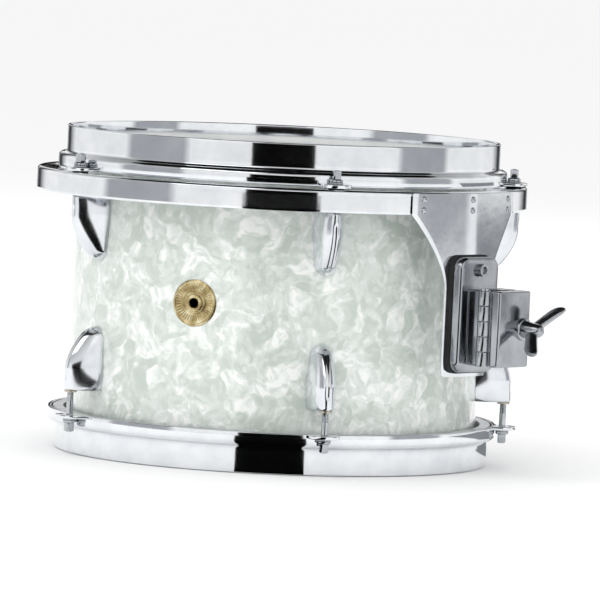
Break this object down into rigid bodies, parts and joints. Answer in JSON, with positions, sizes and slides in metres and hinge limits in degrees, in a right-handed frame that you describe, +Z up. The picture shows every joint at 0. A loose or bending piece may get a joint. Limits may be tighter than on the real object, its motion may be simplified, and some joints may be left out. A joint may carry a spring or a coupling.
{
  "type": "tom tom drum",
  "caption": "Rack tom drum: pearl wrapped shell with a tensioned head at each end, chromed hoops, lugs and tension rods, and a suspension band with a hinged rod clamp.",
  "frame": {"origin": "on the drum's axis, in the plane of the lower hoop's edge on which it stands", "axes": "+Z up the axis to the batter head, +X through the middle of the mounting bracket"},
  "size_m": [0.4698, 0.3958, 0.2596],
  "materials": {
    "maple_plies": "clear lacquered",
    "pearl_wrap": "gloss pearl",
    "coated_film": "sprayed matt",
    "flesh_hoop": "satin",
    "chromed_hoop": "bright chrome",
    "chromed_casting": "bright chrome",
    "plated_rod": "bright",
    "plated_steel": "zinc plated",
    "lacquered_brass": "polished",
    "machined_brass": "machined",
    "chromed_band": "bright chrome",
    "black_rubber": "matt",
    "chromed_bracket": "bright chrome"
  },
  "bodies": {
    "drum": {"shell": "maple_plies", "pearl_wrap": "pearl_wrap", "batter_film": "coated_film", "resonant_film": "coated_film", "batter_flesh_hoop": "flesh_hoop", "resonant_flesh_hoop": "flesh_hoop", "batter_hoop": "chromed_hoop", "resonant_hoop": "chromed_hoop", "batter_lug_1": "chromed_casting", "resonant_lug_1": "chromed_casting", "batter_lug_2": "chromed_casting", "resonant_lug_2": "chromed_casting", "batter_lug_3": "chromed_casting", "resonant_lug_3": "chromed_casting", "batter_lug_4": "chromed_casting", "resonant_lug_4": "chromed_casting", "batter_lug_5": "chromed_casting", "resonant_lug_5": "chromed_casting", "batter_swivel_nuts": "machined_brass", "resonant_swivel_nuts": "machined_brass", "batter_rod_washers": "plated_steel", "resonant_rod_washers": "plated_steel", "lug_screws": "plated_steel", "lug_screw_washers": "plated_steel", "badge": "lacquered_brass", "vent_grommet": "lacquered_brass", "suspension_band": "chromed_band", "band_grommets": "black_rubber", "mount_plate": "chromed_band", "plate_rivets": "plated_rod", "bracket_gasket": "black_rubber", "bracket_base": "chromed_bracket", "bracket_screws": "plated_steel", "bracket_nuts": "plated_steel", "hinge_pin": "plated_rod"},
    "batter_rod_1": {"batter_rod_1": "plated_rod"},
    "resonant_rod_1": {"resonant_rod_1": "plated_rod"},
    "batter_rod_2": {"batter_rod_2": "plated_rod"},
    "resonant_rod_2": {"resonant_rod_2": "plated_rod"},
    "batter_rod_3": {"batter_rod_3": "plated_rod"},
    "resonant_rod_3": {"resonant_rod_3": "plated_rod"},
    "batter_rod_4": {"batter_rod_4": "plated_rod"},
    "resonant_rod_4": {"resonant_rod_4": "plated_rod"},
    "batter_rod_5": {"batter_rod_5": "plated_rod"},
    "resonant_rod_5": {"resonant_rod_5": "plated_rod"},
    "clamp_jaw": {"clamp_jaw": "chromed_bracket"},
    "wing_washer": {"wing_washer": "chromed_bracket"},
    "wing_screw": {"wing_screw": "chromed_bracket"}
  },
  "joints": [
    {"name": "batter_rod_1_turn", "type": "hinge", "parent": "drum", "child": "batter_rod_1", "pos_m": [0.15129, 0.10992, 0.2296], "axis": [0, 0, 1], "continuous": true},
    {"name": "batter_rod_2_turn", "type": "hinge", "parent": "drum", "child": "batter_rod_2", "pos_m": [-0.05779, 0.17785, 0.2296], "axis": [0, 0, 1], "continuous": true},
    {"name": "batter_rod_3_turn", "type": "hinge", "parent": "drum", "child": "batter_rod_3", "pos_m": [-0.187, 0, 0.2296], "axis": [0, 0, 1], "continuous": true},
    {"name": "batter_rod_4_turn", "type": "hinge", "parent": "drum", "child": "batter_rod_4", "pos_m": [-0.05779, -0.17785, 0.2296], "axis": [0, 0, 1], "continuous": true},
    {"name": "batter_rod_5_turn", "type": "hinge", "parent": "drum", "child": "batter_rod_5", "pos_m": [0.15129, -0.10992, 0.2296], "axis": [0, 0, 1], "continuous": true},
    {"name": "resonant_rod_1_turn", "type": "hinge", "parent": "drum", "child": "resonant_rod_1", "pos_m": [0.15129, 0.10992, 0.03], "axis": [0, 0, -1], "continuous": true},
    {"name": "resonant_rod_2_turn", "type": "hinge", "parent": "drum", "child": "resonant_rod_2", "pos_m": [-0.05779, 0.17785, 0.03], "axis": [0, 0, -1], "continuous": true},
    {"name": "resonant_rod_3_turn", "type": "hinge", "parent": "drum", "child": "resonant_rod_3", "pos_m": [-0.187, 0, 0.03], "axis": [0, 0, -1], "continuous": true},
    {"name": "resonant_rod_4_turn", "type": "hinge", "parent": "drum", "child": "resonant_rod_4", "pos_m": [-0.05779, -0.17785, 0.03], "axis": [0, 0, -1], "continuous": true},
    {"name": "resonant_rod_5_turn", "type": "hinge", "parent": "drum", "child": "resonant_rod_5", "pos_m": [0.15129, -0.10992, 0.03], "axis": [0, 0, -1], "continuous": true},
    {"name": "wing_turn", "type": "hinge", "parent": "wing_washer", "child": "wing_screw", "pos_m": [0.2429, 0.0165, 0.1208], "axis": [1, 0, 0], "range_deg": [0, 1080]},
    {"name": "washer_travel", "type": "slide", "parent": "drum", "child": "wing_washer", "axis": [1, 0, 0], "range_m": [0, 0.00375]},
    {"name": "jaw_hinge", "type": "hinge", "parent": "drum", "child": "clamp_jaw", "pos_m": [0.22895, -0.01545, 0.1208], "axis": [0, 0, -1], "range_deg": [0, 5.09]}
  ],
  "couplings": [
    {"joint": "washer_travel", "follows": "wing_turn", "m_per_rad": 0.00019892},
    {"joint": "jaw_hinge", "follows": "wing_turn", "ratio": 0.0047116}
  ]
}
